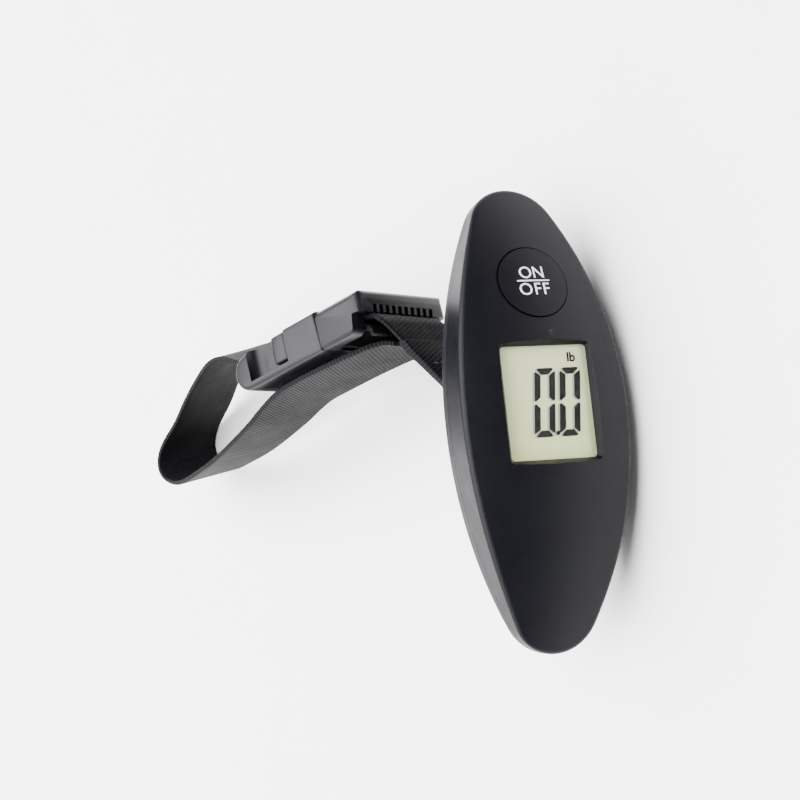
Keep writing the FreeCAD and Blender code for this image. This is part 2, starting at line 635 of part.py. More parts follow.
def female_half():
    """Socket half: a flat sleeve with a window at each side for the thumb pads, and an end bar."""
    thick, wide = sheet.buckle_thick, sheet.buckle_width
    start = sheet.male_length + sheet.buckle_fit
    length = sheet.buckle_length - start
    body = Part.makeBox(thick, length, wide, Vector(-thick / 2, start, -wide / 2))
    far = [edge for edge in body.Edges if edge.BoundBox.YMin > start + length - 1]
    body = body.makeFillet(thick * 0.42, [e for e in far if e.BoundBox.ZLength > 5])
    pocket_long = sheet.side_window_end - start + 1
    pocket = Part.makeBox(sheet.prong_tall + 0.8, pocket_long,
                          wide - 2 * sheet.side_window_deep + 2 * 0.4,
                          Vector(-sheet.prong_tall / 2 - 0.4, start - 1,
                                 -wide / 2 + sheet.side_window_deep - 0.4))
    body = body.cut(pocket)
    for sign in (-1, 1):
        low = sign * wide / 2 if sign < 0 else wide / 2 - sheet.side_window_deep
        window = Part.makeBox(sheet.prong_tall + 0.8,
                              sheet.side_window_end - sheet.side_window_start,
                              sheet.side_window_deep + 0.1,
                              Vector(-sheet.prong_tall / 2 - 0.4, sheet.side_window_start,
                                     low - (0.1 if sign < 0 else 0)))
        body = body.cut(window)
    mouth = Part.makeBox(thick, 4.2, sheet.webbing_wide + 2 * sheet.layer_gap,
                         Vector(1.2, sheet.buckle_length - 3.8,
                                -sheet.webbing_wide / 2 - sheet.layer_gap))
    return keep("buckle_female", solid("BuckleFemale", body.cut(mouth).removeSplitter()), buckle_frame())


# ---------------------------------------------------------------- webbing
def web_section(point, heading, tilt, lean, layers):
    """A cross-section of the webbing: thin across its heading and standing on its edge."""
    thick = layers * sheet.webbing_thick + (layers - 1) * 0.1
    across = Vector(-heading.y, heading.x, 0).normalize()
    up = Vector(math.sin(math.radians(lean)), math.sin(math.radians(tilt)),
                math.cos(math.radians(tilt)) * math.cos(math.radians(lean))).normalize()
    side = across * (thick / 2)
    tall = up * (sheet.webbing_wide / 2)
    corners = [point - side - tall, point + side - tall, point + side + tall, point - side + tall]
    return Part.makePolygon(corners + corners[:1])


def web_strip(stations, layers=1):
    """A length of webbing lofted through stations: x, y, height of its middle, and how far its
    width tilts along Y and leans along X, in degrees."""
    points = [Vector(*station[:3]) for station in stations]
    headings = [points[1] - points[0]]
    for before, after in zip(points, points[2:]):
        headings.append(after - before)
    headings.append(points[-1] - points[-2])
    sections = [web_section(point, heading, station[3], station[4], layers)
                for point, heading, station in zip(points, headings, stations)]
    return Part.makeLoft(sections, True, True)


LEG_ROUTE = [(1.4, 22.5, 15.0, 24.5, 0), (10.0, 25.0, 13.9, 24.5, 0), (17.0, 29.3, 18.2, 15.0, 0),
             (23.0, 33.0, 23.6, 6.0, 0), (26.0, 34.4, 26.0, 2.0, 0)]
MALE_ROUTE = [(26.4, 34.0, 26.4, 2.0, 0), (29.4, 34.8, 30.4, 0, 0), (31.6, 35.3, 33.2, 0, 0),
              (33.0, 37.6, 33.4, 0, 0), (32.9, 40.4, 33.4, 0, 0), (32.3, 43.5, 33.4, 0, 0)]
TAIL_ROUTE = [(30.4, 42.8, 33.4, 0, 0), (29.9, 39.2, 33.4, 0, 0), (27.9, 38.2, 33.2, 0, 0)]
NEAR_ROUTE = [(25.6, 36.4, 26.6, 2.0, 0), (26.1, 40.2, 28.6, 0, 0), (25.0, 46.5, 31.4, 0, 0),
              (22.4, 59.0, 34.0, 0, 0), (19.9, 73.0, 34.2, 0, 0), (18.5, 80.8, 33.2, 0, -2)]
FAR_ROUTE = [(18.4, 81.2, 33.1, 0, -2), (16.4, 88.0, 31.6, 0, -4), (12.9, 98.5, 29.2, 0, -6),
             (8.0, 118.0, 24.4, 0, -9), (5.8, 134.0, 20.0, 0, -11), (5.2, 147.0, 15.6, 0, -12),
             (7.4, 156.0, 13.0, 0, -13), (11.2, 160.2, 12.4, 0, -14), (15.9, 160.2, 12.4, 0, -15),
             (20.2, 156.6, 12.9, 0, -16), (25.6, 147.0, 15.4, 0, -18), (31.0, 136.5, 19.6, 0, -20),
             (35.2, 124.0, 24.9, 0, -20), (37.0, 112.0, 29.8, 0, -16), (36.0, 104.0, 31.6, 0, -11),
             (32.8, 97.0, 32.7, 0, -6), (29.6, 91.8, 33.2, 0, -2), (28.3, 87.6, 33.4, 0, 0)]


def webbing():
    """One webbing, cut in the model where the buckle's two halves part."""
    bottom = Vector(0, sheet.pin_depth, -sheet.webbing_wide / 2)
    eye = Part.makeCylinder(sheet.pin_radius + 0.1 + sheet.webbing_thick, sheet.webbing_wide, bottom)
    eye.Placement = case_frame()
    pin_room = Part.makeCylinder(sheet.pin_radius + 0.05, sheet.webbing_wide + 2,
                                 bottom - Vector(0, 0, 1))
    pin_room.Placement = case_frame()
    leg = web_strip(LEG_ROUTE, 2).fuse(eye).cut(pin_room)
    keep("strap_leg", solid("StrapLeg", leg))
    keep("strap_male_end", solid("StrapMaleEnd", web_strip(MALE_ROUTE)))
    keep("strap_tail", solid("StrapTail", web_strip(TAIL_ROUTE)))
    keep("strap_near", solid("StrapNear", web_strip(NEAR_ROUTE)))
    keep("strap_far", solid("StrapFar", web_strip(FAR_ROUTE)))


# ---------------------------------------------------------------- build, check and write
BUILDERS = [front_shell, window_lens, display, power_button, tact_switch, circuit_board, load_beam,
            beam_screws, pull_boss, battery, battery_door, rear_shell, case_screws, male_half, prongs,
            female_half, webbing]


def main():
    for builder in BUILDERS:
        builder()
    doc.recompute()
    for obj in doc.Objects:
        if "Invalid" in obj.State or "Error" in obj.State:
            raise RuntimeError("failed: %s" % obj.Name)
    os.makedirs("parts", exist_ok=True)
    for node, obj in NODES.items():
        if obj.Shape.isNull() or not obj.Shape.isValid() or not obj.Shape.Solids:
            raise RuntimeError("bad shape: " + node)
        obj.Shape.exportStep(os.path.join("parts", node + ".step"))
    print("nodes written:", len(NODES))


main()
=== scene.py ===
import math

import bmesh
import bpy
import numpy as np
from mathutils import Matrix, Vector


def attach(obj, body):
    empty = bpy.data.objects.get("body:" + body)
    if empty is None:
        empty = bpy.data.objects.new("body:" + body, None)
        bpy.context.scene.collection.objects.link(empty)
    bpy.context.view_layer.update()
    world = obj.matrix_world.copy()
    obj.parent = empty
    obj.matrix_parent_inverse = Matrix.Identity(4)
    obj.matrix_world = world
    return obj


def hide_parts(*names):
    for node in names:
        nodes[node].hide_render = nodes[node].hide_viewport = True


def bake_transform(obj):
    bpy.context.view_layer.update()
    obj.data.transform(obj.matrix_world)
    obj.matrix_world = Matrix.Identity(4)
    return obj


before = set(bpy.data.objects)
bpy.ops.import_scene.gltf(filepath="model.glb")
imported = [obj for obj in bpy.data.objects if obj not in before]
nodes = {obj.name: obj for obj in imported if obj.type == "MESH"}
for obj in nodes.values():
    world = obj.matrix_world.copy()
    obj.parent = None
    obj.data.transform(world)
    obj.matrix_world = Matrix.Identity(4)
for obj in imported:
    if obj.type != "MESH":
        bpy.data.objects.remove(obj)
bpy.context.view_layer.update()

mm = 0.001

# Camera.
# It stands in front of the display and above it, turned so that the button end of the case is up.
eye_right = Vector((-0.10168, -0.70954, -0.69729)).normalized()
eye_up = Vector((0.98507, -0.16967, 0.02900)).normalized()
eye_back = eye_right.cross(eye_up).normalized()
eye_up = eye_back.cross(eye_right)
eye_place = Vector((-0.0620, -0.3168, 0.40935))
camera = bpy.data.objects.new("camera", bpy.data.cameras.new("camera"))
bpy.context.collection.objects.link(camera)
camera.data.sensor_width = 36.0
camera.data.lens = 85.6
camera.data.clip_start = 0.01
camera.matrix_world = Matrix((
    (eye_right.x, eye_up.x, eye_back.x, eye_place.x),
    (eye_right.y, eye_up.y, eye_back.y, eye_place.y),
    (eye_right.z, eye_up.z, eye_back.z, eye_place.z),
    (0, 0, 0, 1)))
bpy.context.scene.camera = camera


# Front shell of the case.
# Injection-moulded black plastic with a fine satin texture, faintly polished where hands rub it.
# It clips over the rear shell and four screws from behind hold the two together.
class Value:
    """A number that varies over a surface.  Sums and products on it add their own nodes."""

    def __init__(self, finish, socket):
        self.finish, self.socket = finish, socket

    def math(self, operation, *parts):
        return self.finish.node("ShaderNodeMath", {"operation": operation}, dict(enumerate(parts)))

    def __add__(self, other):
        return self.math("ADD", self, other)

    def __sub__(self, other):
        return self.math("SUBTRACT", self, other)

    def __rsub__(self, other):
        return self.math("SUBTRACT", other, self)

    def __mul__(self, other):
        return self.math("MULTIPLY", self, other)

    def __pow__(self, other):
        return self.math("POWER", self, other)

    __radd__ = __add__
    __rmul__ = __mul__


class Finish:
    """A named material on the one surface shader."""

    def __init__(self, name, **constants):
        self.material = bpy.data.materials.new(name)
        self.material.use_nodes = True
        self.tree = self.material.node_tree
        self.shader = self.tree.nodes["Principled BSDF"]
        for socket, value in constants.items():
            self.shader.inputs[socket.replace("_", " ")].default_value = value

    def node(self, kind, settings, values, out=0):
        """Any other node: its settings first, then the values or links of its sockets."""
        made = self.tree.nodes.new(kind)
        for name, value in settings.items():
            setattr(made, name, value)
        for name, value in values.items():
            if isinstance(value, Value):
                self.tree.links.new(value.socket, made.inputs[name])
            else:
                made.inputs[name].default_value = value
        return Value(self, made.outputs[out])

    def place(self):
        return self.node("ShaderNodeTexCoord", {}, {}, out="Object")

    def along(self, vector, axis):
        return self.node("ShaderNodeSeparateXYZ", {}, {0: vector}, out=axis)

    def noise(self, per_metre, detail=3.0, vector=None):
        return self.node("ShaderNodeTexNoise", {}, {
            "Vector": vector or self.place(), "Scale": per_metre, "Detail": detail}, out="Fac")

    def ramp(self, value, low, high):
        """0 below low, 1 above high, even between."""
        return self.node("ShaderNodeMapRange", {"clamp": True}, {0: value, 1: low, 2: high})

    def mix(self, amount, first, second):
        return self.node("ShaderNodeMix", {"data_type": "RGBA"}, {0: amount, 6: first, 7: second}, out=2)

    def shade(self, **varying):
        for name, value in varying.items():
            self.tree.links.new(value.socket, self.shader.inputs[name.replace("_", " ")])

    def bump(self, height, strength, distance):
        self.shade(Normal=self.node("ShaderNodeBump", {}, {
            "Strength": strength, "Distance": distance, "Height": height}))


def moulded(name, dark, pale, roughness, grain=2600.0, depth=0.00005, **constants):
    """Moulded plastic: spark-textured skin, slow drift of colour, smudges that change its gloss."""
    finish = Finish(name, **constants)
    skin = finish.noise(grain, 2.0)
    drift = finish.ramp(finish.noise(38.0, 4.0), 0.35, 0.7)
    rubbed = finish.ramp(finish.noise(120.0, 5.0), 0.45, 0.75)
    finish.shade(Base_Color=finish.mix(drift * 0.7 + skin * 0.3, (*dark, 1), (*pale, 1)),
                 Roughness=roughness - rubbed * 0.06 + skin * 0.08)
    finish.bump(skin, 0.35, depth)
    return finish


def wear(node, finish):
    """Give a carried-over piece its finish, in place of every slot that it has."""
    slots = nodes[node].data.materials
    slots.clear()
    slots.append(finish.material)


case_skin = moulded("case_satin_black", (0.0016, 0.0016, 0.0030), (0.0028, 0.0028, 0.0048), 0.40,
                    Specular_IOR_Level=0.11)
wear("front_shell", case_skin)

# Window lens.
# A flat clear acrylic plate, bonded into the bevelled surround from inside.
# It is dust-free and polished, with faint wiping marks.
lens_clear = Finish("lens_acrylic", Base_Color=(0.30, 0.31, 0.30, 1), Alpha=0.012,
                    Specular_IOR_Level=0.25)
lens_marks = lens_clear.ramp(lens_clear.noise(180.0, 6.0), 0.4, 0.8)
lens_clear.shade(Roughness=0.05 + lens_marks * 0.08)
wear("window_lens", lens_clear)

# Display glass with its figures.
# A reflective liquid crystal panel, grey-green, with painted shade that makes it slightly darker towards its
# foot.
# Its segments are printed electrodes, so each figure stands a hair in front of its own soft shadow, painted
# as an offset grey copy.
case_lean = math.radians(-24.5)
case_place = (Matrix.Translation((0, 0, 0.02515)) @ Matrix.Rotation(case_lean, 4, "X")
              @ Matrix.Scale(mm, 4))
window_middle = 2.3
panel_front = -4.85
panel_foot, panel_head = -0.014, 0.018

panel = Finish("display_panel", Coat_Weight=0.25, Coat_Roughness=0.08)
# Painted shade: the panel's colour grows slightly darker and greener from head to foot along its length.
panel_painted_shade = panel.ramp(panel.along(panel.place(), "X"), panel_foot, panel_head)
panel_grain = panel.noise(900.0, 3.0)
panel.shade(Base_Color=panel.mix(panel_painted_shade * 0.9 + panel_grain * 0.1,
                                 (0.46, 0.53, 0.22, 1), (0.50, 0.53, 0.31, 1)),
            Roughness=0.28 + panel_grain * 0.08)
wear("display_glass", panel)


def settle(piece):
    """Keep what the piece's modifiers made, and drop the modifiers."""
    graph = bpy.context.evaluated_depsgraph_get()
    made = bpy.data.meshes.new_from_object(piece.evaluated_get(graph))
    piece.modifiers.clear()
    piece.data = made


def piece_from(name, form, place, finish, body, smooth=False):
    """Turn a form drawn in millimetres into a finished piece on its body."""
    bmesh.ops.transform(form, matrix=place, verts=form.verts)
    bmesh.ops.recalc_face_normals(form, faces=form.faces)
    mesh = bpy.data.meshes.new(name)
    form.to_mesh(mesh)
    form.free()
    for face in mesh.polygons:
        face.use_smooth = smooth
    piece = bpy.data.objects.new(name, mesh)
    bpy.context.collection.objects.link(piece)
    mesh.materials.append(finish.material)
    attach(piece, body)
    return piece


def slab(form, outline, low, high):
    """A flat plate: its outline in length and height, its thickness along the depth."""
    ring = [form.verts.new((x, low, z)) for x, z in outline]
    face = form.faces.new(ring)
    grown = bmesh.ops.extrude_face_region(form, geom=[face])
    moved = [item for item in grown["geom"] if isinstance(item, bmesh.types.BMVert)]
    bmesh.ops.translate(form, verts=moved, vec=(0, high - low, 0))


# figures: height runs along the case, width runs across it, and the tops lean to the right
figure_tall, figure_wide, stroke, gap, lean = 18.2, 6.0, 1.75, 0.17, 0.115
figure_places = (0.55, -6.75)
print_thick = 0.03


def nought(form, middle_x, middle_z, low, high, shift):
    """The six lit bars of a seven-bar nought, mitred where they meet."""
    top, side = figure_tall / 2, figure_wide / 2
    cap = [(top, -side + 1.0), (top, side - 1.0), (top - 0.35, side - 0.45 - gap),
           (top - stroke, side - stroke - gap), (top - stroke, -side + stroke + gap),
           (top - 0.35, -side + 0.45 + gap)]
    post = [(top - 0.7 - gap, side - 0.2), (top - 1.1, side), (0.7, side), (0.25, side - 0.4),
            (stroke * 0.8, side - stroke), (top - stroke - 1.6 * gap, side - stroke)]
    for up in (-1, 1):
        shapes = [[(x * up, z) for x, z in cap]]
        shapes += [[(x * up, z * out) for x, z in post] for out in (-1, 1)]
        for shape in shapes:
            slab(form, [(middle_x + x + shift[0], middle_z + z - x * lean + shift[1]) for x, z in shape],
                 low, high)


ink = Finish("display_ink", Specular_IOR_Level=0.04)
ink_drift = ink.noise(700.0, 3.0)
ink.shade(Base_Color=ink.mix(ink_drift, (0.006, 0.006, 0.006, 1), (0.010, 0.010, 0.009, 1)),
          Roughness=0.32 + ink_drift * 0.1)
# Painted shadow: these offset grey copies of the figures stand for the figures' soft shadows on the panel,
# and their colour darkens towards the foot as painted shade, like the panel's.
painted_figure_shadow = Finish("display_shadow", Roughness=0.5)
figure_shadow_painted_shade = painted_figure_shadow.ramp(painted_figure_shadow.along(painted_figure_shadow.place(), "X"), panel_foot, panel_head)
painted_figure_shadow.shade(Base_Color=painted_figure_shadow.mix(figure_shadow_painted_shade * 0.8 + painted_figure_shadow.noise(800.0) * 0.2,
                                 (0.200, 0.215, 0.150, 1), (0.240, 0.250, 0.185, 1)))

for form_name, finish, low, high, shift in (
        ("display_figures", ink, panel_front - 0.10, panel_front - 0.10 + print_thick, (0.0, 0.0)),
        ("display_figure_shadows", painted_figure_shadow, panel_front - 0.05, panel_front - 0.05 + print_thick,
         (-0.1, 0.55))):
    form = bmesh.new()
    for middle_z in figure_places:
        nought(form, window_middle + 0.1, middle_z, low, high, shift)
    dot = [(-6.3, -2.75), (-5.2, -2.85), (-5.2, -1.85), (-6.3, -1.75)]
    slab(form, [(x + shift[0], z + shift[1]) for x, z in dot], low, high)
    piece_from(form_name, form, case_place, finish, "case")


def lettering(name, words, size, middle_x, middle_z, low, thick, finish, body, crown=None,
              fatten=0.0, spread=1.0):
    """Plain raised lettering that reads from the front with the button end up."""
    curve = bpy.data.curves.new(name, "FONT")
    curve.body, curve.size = words, size
    curve.align_x, curve.align_y = "CENTER", "CENTER"
    curve.offset = fatten
    curve.space_character = spread
    curve.extrude = thick / 2
    holder = bpy.data.objects.new(name + "_holder", curve)
    bpy.context.collection.objects.link(holder)
    mesh = bpy.data.meshes.new_from_object(holder.evaluated_get(bpy.context.evaluated_depsgraph_get()))
    bpy.data.objects.remove(holder)
    form = bmesh.new()
    form.from_mesh(mesh)
    bmesh.ops.remove_doubles(form, verts=form.verts, dist=0.0001)
    for vert in form.verts:
        across, up, out = vert.co
        x, z = middle_x + up, middle_z - across
        vert.co = (x, (crown(x, z) if crown else low) - out, z)
    return piece_from(name, form, case_place, finish, body)


lettering("display_unit", "lb", 3.5, 14.1, -8.4, panel_front - 0.085, print_thick, ink, "case",
          fatten=0.09)

# Holder and contact strips behind the display.
# A pale moulded frame keeps the panel square; two silicone strips with fine carbon layers join its
# edges to the circuit board.
holder_skin = moulded("holder_white", (0.62, 0.62, 0.58), (0.72, 0.72, 0.69), 0.5)
wear("display_holder", holder_skin)
strip = Finish("zebra_silicone", Roughness=0.6)
strip_wave = strip.node("ShaderNodeTexWave", {"wave_type": "BANDS", "bands_direction": "Y"},
                        {"Vector": strip.place(), "Scale": 900.0, "Distortion": 0.0}, out="Fac")
strip.shade(Base_Color=strip.mix(strip_wave, (0.02, 0.02, 0.02, 1), (0.72, 0.40, 0.42, 1)))
strip.bump(strip_wave, 0.3, 0.00005)
wear("zebra_strips", strip)

# Power button.
# A round cap of the same plastic as the case, on a thin stem over the switch.
# Its word and bar are pad-printed in pale grey ink.
button_skin = moulded("button_satin_black", (0.0012, 0.0012, 0.0024), (0.0022, 0.0022, 0.0040), 0.38,
                      Specular_IOR_Level=0.10)
wear("power_button", button_skin)
printed = Finish("printed_grey")
printed_wear = printed.ramp(printed.noise(1500.0, 4.0), 0.3, 0.75)
printed.shade(Base_Color=printed.mix(printed_wear, (0.56, 0.57, 0.60, 1), (0.74, 0.75, 0.78, 1)),
              Roughness=0.45 + printed_wear * 0.1)
button_x = 34.6
cap_top, long_crown, cross_crown = 9.95, 136.35, 61.35
print_rise, cap_print_thick = 0.03, 0.06


def cap_face(x, z):
    """How deep the crowned face of the cap lies at a place on it."""
    ring = long_crown - cross_crown
    fall = math.sqrt((ring + math.sqrt(cross_crown ** 2 - z * z)) ** 2 - x * x)
    return -cap_top + long_crown - fall - print_rise


lettering("button_word_upper", "ON", 4.65, button_x + 2.45, 0.15, 0, cap_print_thick, printed, "button",
          cap_face)
lettering("button_word_lower", "OFF", 4.75, button_x - 2.25, 0.25, 0, cap_print_thick, printed, "button",
          cap_face, spread=1.12)
form = bmesh.new()
bmesh.ops.create_cube(form, size=1.0)
bar_tall, bar_long = 0.36, 9.3
bmesh.ops.transform(form, matrix=Matrix.Diagonal((bar_tall, cap_print_thick, bar_long, 1)), verts=form.verts)
bmesh.ops.subdivide_edges(form, edges=[e for e in form.edges if e.calc_length() > bar_long / 2], cuts=15)
for vert in form.verts:
    x, z = button_x + 0.3 + vert.co.x, 0.1 + vert.co.z
    vert.co = (x, cap_face(x, z) + vert.co.y, z)
piece_from("button_bar", form, case_place, printed, "button")

# Switch under the button.
# A square tact switch with a coloured plunger, soldered to the board.
wear("tact_switch", moulded("switch_black", (0.02, 0.02, 0.02), (0.04, 0.04, 0.04), 0.45))
wear("switch_plunger", moulded("plunger_red", (0.30, 0.05, 0.04), (0.42, 0.08, 0.06), 0.45))

# Circuit board and what is on it.
# Green solder mask over copper tracks, with a round drop of black epoxy over the chip and six small
# surface parts.
board = Finish("board_green", Coat_Weight=0.4, Coat_Roughness=0.15)
board_wave = board.node("ShaderNodeTexBrick", {"offset": 0.5}, {
    "Vector": board.place(), "Scale": 260.0, "Mortar Size": 0.035}, out="Fac")
board_grain = board.noise(400.0, 4.0)
board.shade(Base_Color=board.mix(board_wave * 0.7 + board_grain * 0.2, (0.015, 0.13, 0.045, 1),
                                 (0.05, 0.26, 0.09, 1)),
            Roughness=0.3 + board_grain * 0.15)
board.bump(board_wave, 0.3, 0.00004)
wear("circuit_board", board)
wear("chip_blob", moulded("epoxy_drop", (0.008, 0.008, 0.008), (0.016, 0.016, 0.016), 0.18, 900.0))
wear("board_components", moulded("ceramic_parts", (0.20, 0.15, 0.10), (0.36, 0.29, 0.20), 0.45))


# Load beam with its gauges and leads.
# A slotted aluminium bar that bends under load, screwed to the rear shell at both ends.
# Foil gauges are glued on it, and four thin leads go to the board.
def metal(name, dark, pale, roughness, stretch=(1.0, 1.0, 1.0), grain=900.0, bright=0.15):
    """Bare metal with drawn or milled marks stretched along one way."""
    finish = Finish(name, Metallic=1.0)
    marks = finish.noise(grain, 4.0, finish.node("ShaderNodeMapping", {}, {
        "Vector": finish.place(), "Scale": stretch}, out="Vector"))
    clouds = finish.noise(90.0, 4.0)
    finish.shade(Base_Color=finish.mix(marks * 0.7 + clouds * 0.3, (*dark, 1), (*pale, 1)),
                 Roughness=roughness + marks * bright + clouds * 0.05)
    finish.bump(marks, 0.2, 0.00003)
    return finish


wear("load_beam", metal("beam_milled", (0.55, 0.56, 0.58), (0.80, 0.81, 0.83), 0.25, (0.1, 1.0, 1.0)))
gauge = Finish("gauge_film", Roughness=0.3, Coat_Weight=0.5)
gauge_grid = gauge.node("ShaderNodeTexWave", {"wave_type": "BANDS", "bands_direction": "X"},
                        {"Vector": gauge.place(), "Scale": 700.0}, out="Fac")
gauge.shade(Base_Color=gauge.mix(gauge_grid, (0.45, 0.25, 0.05, 1), (0.80, 0.62, 0.30, 1)))
wear("strain_gauges", gauge)
wear("gauge_leads", moulded("lead_sheath", (0.38, 0.03, 0.03), (0.52, 0.05, 0.05), 0.35))

# Coin cell and its contacts.
# A rolled steel can with a crimped rim, held between two nickel-plated springs.
wear("coin_cell", metal("cell_steel", (0.50, 0.50, 0.52), (0.74, 0.74, 0.76), 0.20, (1.0, 0.2, 1.0)))
spring_plate = metal("contact_nickel", (0.48, 0.46, 0.42), (0.72, 0.70, 0.66), 0.22)
for node in ("negative_contact", "positive_contact"):
    wear(node, spring_plate)

# Rear shell, battery door and the case's screws.
# The back is moulded like the front.  The door snaps flush into it, and four small cross-head
# screws sit in deep seats.
moulded_sheen = 0.2
wear("rear_shell", moulded("back_satin_black", (0.0030, 0.0031, 0.0042), (0.0052, 0.0054, 0.0070), 0.45,
                           Specular_IOR_Level=moulded_sheen))
wear("battery_door", moulded("door_satin_black", (0.0032, 0.0033, 0.0044), (0.0056, 0.0058, 0.0074), 0.47,
                             Specular_IOR_Level=moulded_sheen))
screw_zinc = metal("screw_zinc", (0.32, 0.33, 0.35), (0.58, 0.59, 0.61), 0.28, grain=1500.0)
for node in ("case_screws", "beam_screws", "pull_screw"):
    wear(node, screw_zinc)

# Pull boss and its pin.
# The round boss carries the load from the webbing to the beam.  A ground steel pin goes through its
# two cheeks.
wear("pull_boss", moulded("boss_black", (0.0034, 0.0035, 0.0046), (0.0060, 0.0062, 0.0078), 0.42,
                          Specular_IOR_Level=moulded_sheen))
wear("strap_pin", metal("pin_ground", (0.45, 0.45, 0.47), (0.66, 0.66, 0.68), 0.18, (1.0, 1.0, 0.1)))

# Buckle, male half.
# Black acetal with a satin skin.  A deep toothed bar grips the webbing, two cheeks carry the
# shoulder, and a tongue and two springy prongs go into the socket.
buckle_turn = math.radians(10.1)
buckle_place = (Matrix.Translation((0.0349, 0.0368, 0.0334)) @ Matrix.Rotation(buckle_turn, 4, "Z")
                @ Matrix.Scale(mm, 4))
buckle_skin = moulded("buckle_acetal", (0.0026, 0.0026, 0.0042), (0.0048, 0.0048, 0.0072), 0.36, 2200.0,
                       Specular_IOR_Level=moulded_sheen)
half_thick, half_wide = 5.8, 17.7
shoulder_end = 17.4


def brick(form, low, high, round_by=0.0, segments=3, across=None):
    """A block between two corners.  across keeps the rounding to edges along one axis."""
    low, high = Vector(low), Vector(high)
    size = high - low
    made = bmesh.ops.create_cube(form, size=1.0, matrix=Matrix.Translation((low + high) / 2)
                                 @ Matrix.Diagonal((*size, 1)))
    if round_by:
        edges = {edge for vert in made["verts"] for edge in vert.link_edges}
        if across is not None:
            edges = {e for e in edges
                     if abs((e.verts[0].co - e.verts[1].co)[across]) > size[across] * 0.9}
        bmesh.ops.bevel(form, geom=list(edges), offset=round_by, offset_type="OFFSET",
                        segments=segments, profile=0.5, affect="EDGES", material=-1)


def carve(piece, cutters):
    """Take the cutters' blocks out of the piece."""
    for low, high, round_by, across in cutters:
        form = bmesh.new()
        brick(form, low, high, round_by, 4, across)
        bmesh.ops.transform(form, matrix=buckle_place, verts=form.verts)
        bmesh.ops.recalc_face_normals(form, faces=form.faces)
        mesh = bpy.data.meshes.new("cutter")
        form.to_mesh(mesh)
        form.free()
        tool = bpy.data.objects.new("cutter", mesh)
        bpy.context.collection.objects.link(tool)
        taking = piece.modifiers.new("taking", "BOOLEAN")
        taking.operation, taking.object, taking.solver = "DIFFERENCE", tool, "EXACT"
        settle(piece)
        bpy.data.objects.remove(tool)


def soften(piece, width=0.35, segments=2):
    """Break every sharp edge as a mould does."""
    edge = piece.modifiers.new("edge", "BEVEL")
    edge.width, edge.segments, edge.limit_method = width * mm, segments, "ANGLE"
    edge.angle_limit = math.radians(35)
    edge.use_clamp_overlap = True
    settle(piece)
    for face in piece.data.polygons:
        face.use_smooth = True
    piece.data.set_sharp_from_angle(angle=math.radians(38))


def profile_block(form, outline, half):
    """A solid with one outline in thickness and length, carried across the width."""
    ring = [form.verts.new((x, y, -half)) for x, y in outline]
    face = form.faces.new(ring)
    grown = bmesh.ops.extrude_face_region(form, geom=[face])
    moved = [item for item in grown["geom"] if isinstance(item, bmesh.types.BMVert)]
    bmesh.ops.translate(form, verts=moved, vec=(0, 0, 2 * half))


def arc(middle, radius, start, end, steps=8):
    return [(middle[0] + radius * math.cos(math.radians(start + (end - start) * n / steps)),
             middle[1] + radius * math.sin(math.radians(start + (end - start) * n / steps)))
            for n in range(steps + 1)]


form = bmesh.new()
male_outline = (arc((half_thick - 2.2, 2.2), 2.2, -90, 0) + [(half_thick, shoulder_end)]
                + [(-half_thick, shoulder_end)] + arc((-half_thick + 2.6, 6.6), 2.6, 180, 270)
                + [(-0.6, 3.4), (-0.6, 0.8)])
profile_block(form, male_outline, half_wide)
bmesh.ops.recalc_face_normals(form, faces=form.faces)


def round_off(form, across, along, side_across, side_along, edge_across, edge_along, radius, slices=6):
    """Round one long corner of a block: slice it finely, then pull the slices onto the radius."""
    for axis, side, edge in ((across, side_across, edge_across), (along, side_along, edge_along)):
        for n in range(1, slices):
            centre, normal = [0, 0, 0], [0, 0, 0]
            centre[axis] = side * (edge - radius * (1 - math.sin(math.pi / 2 * n / slices)))
            normal[axis] = 1
            bmesh.ops.bisect_plane(form, geom=form.verts[:] + form.edges[:] + form.faces[:],
                                   plane_co=centre, plane_no=normal)
    for vert in form.verts:
        one = side_across * vert.co[across] - (edge_across - radius)
        two = side_along * vert.co[along] - (edge_along - radius)
        reach = math.hypot(one, two)
        if one > 0 and two > 0 and reach > radius:
            vert.co[across] = side_across * (edge_across - radius + one * radius / reach)
            vert.co[along] = side_along * (edge_along - radius + two * radius / reach)


for side in (-1, 1):
    round_off(form, 0, 2, 1, side, half_thick, half_wide, 3.4)
    round_off(form, 0, 2, -1, side, half_thick, half_wide, 1.8, 4)
    round_off(form, 2, 1, side, -1, half_wide, 0.0, 3.6)
male = piece_from("buckle_male_half", form, buckle_place, buckle_skin, "strap")
cheek_inside, past = 12.9, 1.0
carve(male, [((-half_thick - past, 3.4, -cheek_inside), (half_thick + past, 13.2, cheek_inside), 0, None)])
tooth_pitch, teeth, notch_half = 2.45, 10, 0.7
notch_middles = [(n - (teeth - 1) / 2) * tooth_pitch for n in range(teeth)]
carve(male, [((-1.0, -past, z - notch_half), (1.5, 1.7, z + notch_half), 0.3, 1) for z in notch_middles])
carve(male, [((-half_thick - 0.5, 14.6, -11.5), (-half_thick + 0.8, 16.6, 11.5), 0, None)])
soften(male, 0.4, 3)
form = bmesh.new()
brick(form, (0.5, 7.4, -13.2), (3.0, 10.4, 13.2), 0.6)
brick(form, (-1.2, 16.8, -2.6), (1.2, 34.0, 2.6), 0.5)
piece_from("buckle_bar_and_tongue", form, buckle_place, buckle_skin, "strap", True)
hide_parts("buckle_male")

